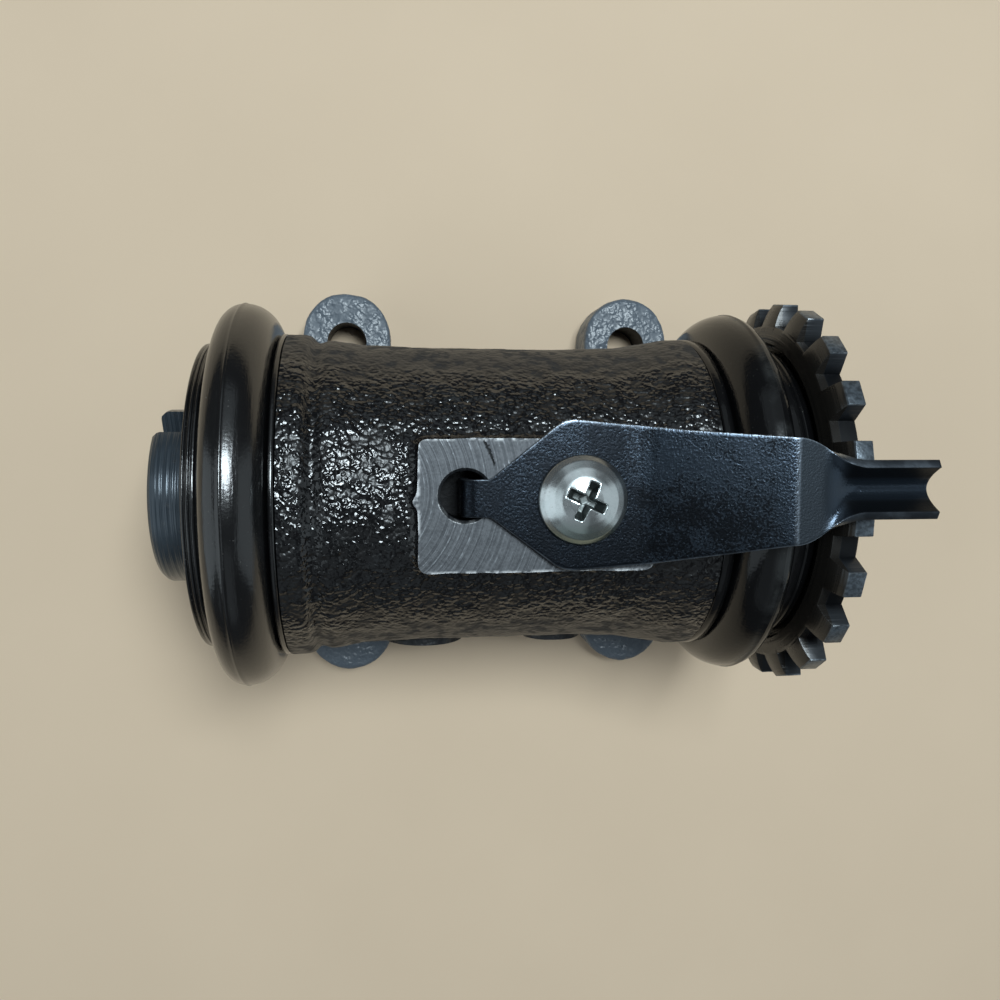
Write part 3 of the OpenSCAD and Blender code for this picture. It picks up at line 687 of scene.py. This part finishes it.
# The adjuster bolt screws into the star wheel and carries the other shoe in its slotted head.
# It is turned steel, blacked. Its thread is cut right hand here, though the feed needs a left hand one.
bolt_r, bolt_pitch, bolt_head_r = 6, 1.5, 9.8
neck_line = [(43.0, 0), (43.0, 5.1), (43.7, 5.1), (43.7, 9.3), (44.1, bolt_head_r)]
head_line = [(50.7, bolt_head_r), (51.2, 9.6), (51.6, 9.2), (51.7, 8.8), (51.7, 0)]
bolt = turned("bolt_adjuster", neck_line + head_line, 144)
slotted(bolt, 46.1, 54)
along_bore = (0, math.radians(90), 0)
thread = tapped("thread", (13.3, 0, bore_height), bolt_r, 30.2, bolt_pitch, along_bore, hand=-1)
cut(bolt, thread, "UNION")
smooth(bolt, 30)
dressed(bolt, lathed, "bolt", "adjuster_bolt")


# The lock spring is a leaf of spring steel: a tongue bent into the pad, a blade, and a trough at its end.
# The trough drops between two teeth and holds the wheel.
# The leaf is pressed, then blued by heat, so it is mottled, and its edges are rubbed bright.
leaf_thick, leaf_flat, columns = 1.1, 55.17, 32
bend_x, bend_z, bend_y0, bend_y1 = 31.4, 60.38, -4.7, 8.5
trough_x0, trough_x1, trough_y, trough_half = 39.8, 49.2, 2.13, 3.2
trough_r, trough_curve = 27.65, 0.316
tongue_rows = [(x, z, -1.3, 3.3)
               for x, z in ((-8.4, 50.2), (-8.4, 54.0), (-8.25, 54.6), (-7.9, 55.0),
                            (-7.3, leaf_flat), (-5.7, leaf_flat))]
flat_rows = [(x, leaf_flat, low, high)
             for x, low, high in ((-5.2, -1.45, 3.5), (2.6, -7.35, 9.8), (3.6, -7.85, 10.4),
                                  (4.9, -8.05, 10.65), (11.5, -7.6, 10.05))]
rise_rows = [(13.0, 55.25, -7.5, 9.95), (14.5, 55.55, -7.35, 9.8), (19.0, 56.85, -6.65, 9.35),
             (30.8, 60.27, -4.77, 8.55), (31.3, 60.36, bend_y0, bend_y1)]
leaf_rows = tongue_rows + flat_rows + rise_rows


def between(first, last, t):
    """The values that lie the share t of the way from the first ones to the last ones."""
    return [a + (b - a) * t for a, b in zip(first, last)]


def eased(t):
    """A share of the way that starts and ends gently."""
    return t * t * (3 - 2 * t)


rows = []
for here, there in zip(leaf_rows, leaf_rows[1:]):
    count = max(1, round(math.hypot(there[0] - here[0], there[1] - here[1]) / 0.45))
    for i in range(count):
        x, z, low, high = between(here, there, i / count)
        rows.append([(x, low + (high - low) * j / columns, z) for j in range(columns + 1)])
offsets = [trough_half * (2 * j / columns - 1) for j in range(columns + 1)]
trough = [(trough_y + y, bore_height + trough_r + trough_curve * y * y) for y in offsets]
bend_steps, trough_steps, curl_start = 26, 24, 0.36
for i in range(bend_steps):
    t = i / bend_steps
    narrow, drop = eased(t), eased(max(0, (t - curl_start) / (1 - curl_start)))
    bend_y = [bend_y0 + (bend_y1 - bend_y0) * j / columns for j in range(columns + 1)]
    rows.append([(bend_x + (trough_x0 - bend_x) * t, y + (ty - y) * narrow, bend_z + (tz - bend_z) * drop)
                 for y, (ty, tz) in zip(bend_y, trough)])
for i in range(trough_steps + 1):
    rows.append([(trough_x0 + (trough_x1 - trough_x0) * i / trough_steps, ty, tz) for ty, tz in trough])
picked()
bpy.ops.mesh.primitive_grid_add(x_subdivisions=len(rows) - 1, y_subdivisions=columns, size=1)
leaf = bpy.context.object
leaf.name = "lock_spring_leaf"
for point in leaf.data.vertices:
    i, j = round((point.co.x + 0.5) * (len(rows) - 1)), round((point.co.y + 0.5) * columns)
    point.co = [v * mm for v in rows[i][j]]
shaped(leaf, "SOLIDIFY", thickness=leaf_thick * mm, offset=0)
shaped(leaf, "BEVEL", width=0.14 * mm, segments=2, limit_method="ANGLE", angle_limit=math.radians(60))
cut(leaf, rod("screw punch", (screw_x, screw_y, 53), 2.8, 4))
smooth(leaf, 40)

blued = Finish("blued_spring_steel")
bloom_blue, stain_black, root_black = (0.040, 0.054, 0.073), (0.003, 0.0042, 0.0063), (0.009, 0.012, 0.017)
matte_grey, trough_wall_shade, bright_steel = (0.024, 0.029, 0.034), (0.007, 0.009, 0.012), (0.24, 0.275, 0.32)
strip = blued.node("ShaderNodeUVMap", {"uv_map": "UVMap"})
across = blued.node("ShaderNodeSeparateXYZ", {}, {0: strip}, out=1)
x, y = blued.along()[:2]
fleck = blued.noise(0.3, 2.5, 0.6)
cloud = blued.noise(4.5, 3, 0.6)
flat = 1 - blued.step(x, 31.2, 31.7)
off_x, off_y = (x - 19) * (1 / 11), (y + 2.5) * (1 / 6.5)
heart = 1 - blued.step(off_x * off_x + off_y * off_y, 0.1, 1.4)
root = 1 - blued.step(x, 9, 16)
stain = blued.step(fleck * 0.52 + cloud * 0.38 + heart * 0.1 + root * 0.1, 0.42, 0.58) * flat
chafed = 0.35 + blued.step(blued.noise(2.2, 3), 0.35, 0.65) * 0.65
bright = blued.step(abs(across - 0.5), 0.482, 0.498) * chafed * (1 - blued.step(x, 36, 38.5) * 0.7)
# A bright line is painted along the bend: it stands in for the highlight that the rounded bend catches, and
# for oxide rubbed off there.
crease = (blued.step(x, 30.9, 31.3) - blued.step(x, 31.4, 31.8)) * (0.3 + blued.noise(0.6, 4) * 0.7)
matte = (1 - flat) * (1 - blued.step(x, 34.2, 36.5))
# Painted shade: the trough's side walls are coloured darker.
wall = blued.step(x, 36.5, 38.5) * blued.step(abs(y - trough_y), 0.9, 1.6)
blue = blued.mix(stain, bloom_blue, stain_black)
blue = blued.mix(root * 0.55, blue, root_black)
blue = blued.mix(matte * 0.8, blue, matte_grey)
blue = blued.mix(wall, blue, trough_wall_shade)
blue = blued.mix(bright * 0.75 + crease * 0.5, blue, bright_steel)
spring_steel = blued.shade(Base_Color=blue, Metallic=0.85 + bright * 0.1,
                           Roughness=0.2 + stain * 0.12 + matte * 0.25 + wall * 0.35,
                           Normal=blued.bump(fleck, 0.04))
dressed(leaf, spring_steel, "cylinder", "lock_spring")


# A zinc plated screw with a low round head holds the leaf to the pad.
# It is cold headed, so the cross recess has soft edges, and the plating is bright with a faint green cast.
# The greener lower side of the head is a painted reflection, and the dark inside the recess is painted shade.
screw_foot, recess_foot = 48.1, 56.45
shank_r, head_under, crown = 2.5, 7.62, 10.62
shank = [(0, 0), (0, shank_r), (7.3, shank_r), (head_under, shank_r), (head_under, 5.5), (7.9, 5.65)]
dome = [(8.25, 5.5), (8.9, 4.9), (9.55, 4.0), (10.05, 3.0), (10.4, 2.0), (10.58, 1.0), (crown, 0)]
screw = turned("screw_zinc", shank + dome, 128)
placed(screw, (screw_x + bore_height, screw_y, screw_foot), (0, math.radians(-90), 0))


def drafted(piece, x_share, y_share):
    """Narrows the lower end of a punch's part to these shares of its width."""
    for point in piece.data.vertices:
        if point.co.z < mm:
            point.co.x *= x_share
            point.co.y *= y_share
    return piece


wing_reach, wing_half, punch_height = 3.7, 0.78, 4
wing = block("wing", (-wing_reach, -wing_half, 0), (wing_reach, wing_half, punch_height))
punch = drafted(wing, 0.42, 0.55)
bpy.ops.object.duplicate()
cross_wing = placed(bpy.context.object, (0, 0, 0), (0, 0, math.radians(90)))
cut(punch, cross_wing, "UNION")
cut(punch, drafted(rod("point", (0, 0, -0.1), 1.45, punch_height + 0.1, sides=4), 0.5, 0.5), "UNION")
cut(screw, placed(punch, (screw_x, screw_y, recess_foot), (0, 0, math.radians(65))))
shaped(screw, "REMESH", mode="VOXEL", voxel_size=0.085 * mm)
shaped(screw, "SMOOTH", factor=0.5, iterations=9)
smooth(screw, 60)

plate = Finish("zinc_plate", Metallic=1.0)
green_zinc, white_zinc, fogged = (0.60, 0.68, 0.68), (0.82, 0.84, 0.85), (0.36, 0.39, 0.37)
green_reflection, recess_shade = (0.30, 0.46, 0.38), (0.05, 0.06, 0.055)
x, y, z = plate.along()
tint = plate.noise(2.2, 3)
fog = plate.noise(0.5, 4, 0.6)
out_x, out_y = x - screw_x, y - screw_y
out_squared = out_x * out_x + out_y * out_y
under_dome = screw_foot + crown - out_squared * 0.063 - z
sunk = plate.step(under_dome, 0.12, 0.5) * plate.step(z, 56, 56.2) * (1 - plate.step(out_squared, 9, 12))
zinc = plate.mix(tint, green_zinc, white_zinc)
zinc = plate.mix(plate.step(fog, 0.5, 0.75) * 0.2, zinc, fogged)
# Painted reflection: the head's lower side is coloured greener.
zinc = plate.mix((1 - plate.step(out_y, -4.5, -2)) * 0.5, zinc, green_reflection)
# Painted shade: the inside of the cross recess is coloured near-black.
zinc = plate.mix(sunk * 0.85, zinc, recess_shade)
bright_zinc = plate.shade(Base_Color=zinc, Roughness=0.18 + fog * 0.14 + sunk * 0.2,
                          Normal=plate.bump(plate.noise(0.6, 2), 0.008))
dressed(screw, bright_zinc, "cylinder", "lock_spring_screw")


# The cylinder lies on its mounting face on a plain pale floor, under a soft lamp with weaker ones round it.
# The camera looks down on it, a little from the side of the plain piston.
picked()
bpy.ops.mesh.primitive_plane_add(size=4, location=(0, 0, -0.1 * mm))
floor = bpy.context.object
floor.name = "floor"
bpy.ops.object.transform_apply(location=True, rotation=True, scale=True)
board = Finish("pale_floor", Roughness=0.85)
pale = board.mix(board.noise(40, 4), (0.63, 0.485, 0.345), (0.69, 0.535, 0.385))
floor.data.materials.append(board.shade(Base_Color=pale))

aim = Vector((0, 0, 0.03))
lamps = (((0.06, 0.17, 0.55), 0.19, 2.8), ((0, 0.5, 0.6), 0.7, 0.5), ((-0.6, -0.1, 0.35), 0.7, 1.25),
         ((0.6, -0.1, 0.3), 0.7, 0.75), ((-0.1, -0.5, 0.5), 0.6, 0.2))
for place, size, power in lamps:
    bpy.ops.object.light_add(type="AREA", location=place)
    lamp = bpy.context.object
    lamp.data.energy = power
    lamp.data.color = (0.82, 0.94, 1)
    lamp.data.size = size
    lamp.rotation_euler = (Vector(place) - aim).to_track_quat("Z", "Y").to_euler()
world = bpy.data.worlds.new("soft room")
world.use_nodes = True
sky = world.node_tree.nodes["Background"].inputs
sky["Color"].default_value = (0.86, 0.93, 1, 1)
sky["Strength"].default_value = 0.08
bpy.context.scene.world = world

camera_spot = (-0.018, 0.009103, 0.161182)
camera_turn = [math.radians(degrees) for degrees in (-4.4513, -7.389, 0.0741)]
bpy.ops.object.camera_add(location=camera_spot, rotation=camera_turn)
camera = bpy.context.object
camera.data.sensor_width = 36
camera.data.lens = 31.583
camera.data.clip_start = 0.005
bpy.context.scene.camera = camera
bpy.context.scene.view_settings.view_transform = "Standard"
